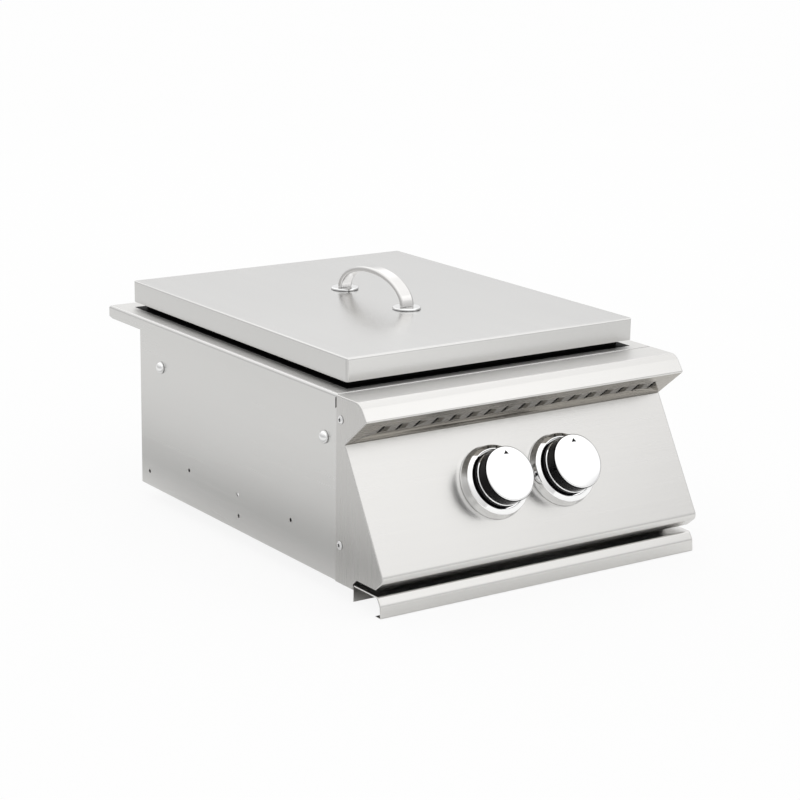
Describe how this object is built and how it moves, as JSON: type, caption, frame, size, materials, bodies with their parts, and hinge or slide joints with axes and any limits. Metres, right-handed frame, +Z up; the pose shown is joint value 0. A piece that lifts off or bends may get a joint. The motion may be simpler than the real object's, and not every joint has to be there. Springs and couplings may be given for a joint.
{
  "type": "built-in side burner",
  "caption": "Slide-in stainless side burner for an outdoor kitchen, with lift-off lid, slotted visor, sloped control panel and push-and-turn knobs.",
  "frame": {"origin": "centre of the whole box in X and Y, at the height of the bottom rail's lowest edge", "axes": "+X to the user's right, +Y to the rear, +Z up; the control panel faces -Y"},
  "size_m": [0.35, 0.4882, 0.2347],
  "materials": {
    "brushed_stainless": "brushed stainless sheet, fine grain",
    "inner_stainless": "plain stainless sheet",
    "satin_handle": "satin polished steel",
    "chrome": "polished chrome",
    "rivet_aluminium": "plain rivet",
    "brass": "machined brass",
    "cast_aluminium": "cast or drawn aluminium",
    "black_cast_iron": "matt black enamel on cast iron",
    "zinc_plated_steel": "zinc plated steel",
    "white_ceramic": "glazed white",
    "red_silicone": "silicone-sleeved lead"
  },
  "bodies": {
    "frame": {"bezel_left": "chrome", "bezel_right": "chrome", "bottom_rail": "brushed_stainless", "burner_base_front": "cast_aluminium", "burner_base_rear": "cast_aluminium", "burner_cap_front": "black_cast_iron", "burner_cap_rear": "black_cast_iron", "burner_carrier": "inner_stainless", "burner_tray": "inner_stainless", "cheek_left": "brushed_stainless", "cheek_right": "brushed_stainless", "cheek_rivet_bottom_left": "rivet_aluminium", "cheek_rivet_bottom_right": "rivet_aluminium", "cheek_rivet_top_left": "rivet_aluminium", "cheek_rivet_top_right": "rivet_aluminium", "cross_bar_front": "inner_stainless", "cross_bar_rear": "inner_stainless", "deck": "brushed_stainless", "electrode_front": "white_ceramic", "electrode_rear": "white_ceramic", "fascia": "brushed_stainless", "flame_ring_front": "brass", "flame_ring_rear": "brass", "floor_panel": "inner_stainless", "gas_manifold": "zinc_plated_steel", "gas_tube_front": "cast_aluminium", "gas_tube_rear": "cast_aluminium", "igniter_lead_front": "red_silicone", "igniter_lead_rear": "red_silicone", "inlet_elbow": "brass", "orifice_front": "brass", "orifice_rear": "brass", "pot_support_front": "black_cast_iron", "pot_support_rear": "black_cast_iron", "rear_panel": "brushed_stainless", "side_bolt_front_left": "chrome", "side_bolt_front_right": "chrome", "side_bolt_rear_left": "chrome", "side_bolt_rear_right": "chrome", "side_panel_left": "brushed_stainless", "side_panel_right": "brushed_stainless", "valve_body_left": "brass", "valve_body_right": "brass", "valve_nut_left": "zinc_plated_steel", "valve_nut_right": "zinc_plated_steel"},
    "lid": {"lid_shell": "brushed_stainless", "lid_frame": "inner_stainless", "lid_handle": "satin_handle", "rosette_front": "chrome", "rosette_rear": "chrome", "handle_screw_front": "zinc_plated_steel", "handle_screw_rear": "zinc_plated_steel"},
    "plug_left": {"valve_plug_left": "brass"},
    "knob_left": {"knob_left": "chrome", "valve_stem_left": "brass", "valve_spring_left": "zinc_plated_steel"},
    "plug_right": {"valve_plug_right": "brass"},
    "knob_right": {"knob_right": "chrome", "valve_stem_right": "brass", "valve_spring_right": "zinc_plated_steel"}
  },
  "joints": [
    {"name": "lid_lift", "type": "slide", "parent": "frame", "child": "lid", "axis": [0, 0, 1], "range_m": [0, 0.15]},
    {"name": "knob_left_turn", "type": "hinge", "parent": "frame", "child": "plug_left", "pos_m": [-0.0368, -0.20709, 0.09049], "axis": [0, -0.8669, 0.4985], "range_deg": [0, 210]},
    {"name": "knob_left_push", "type": "slide", "parent": "plug_left", "child": "knob_left", "axis": [0, 0.8669, -0.4985], "range_m": [0, 0.0035], "stiffness_N_per_m": 1500, "springref_m": -0.004},
    {"name": "knob_right_turn", "type": "hinge", "parent": "frame", "child": "plug_right", "pos_m": [0.0368, -0.20709, 0.09049], "axis": [0, -0.8669, 0.4985], "range_deg": [0, 210]},
    {"name": "knob_right_push", "type": "slide", "parent": "plug_right", "child": "knob_right", "axis": [0, 0.8669, -0.4985], "range_m": [0, 0.0035], "stiffness_N_per_m": 1500, "springref_m": -0.004}
  ]
}
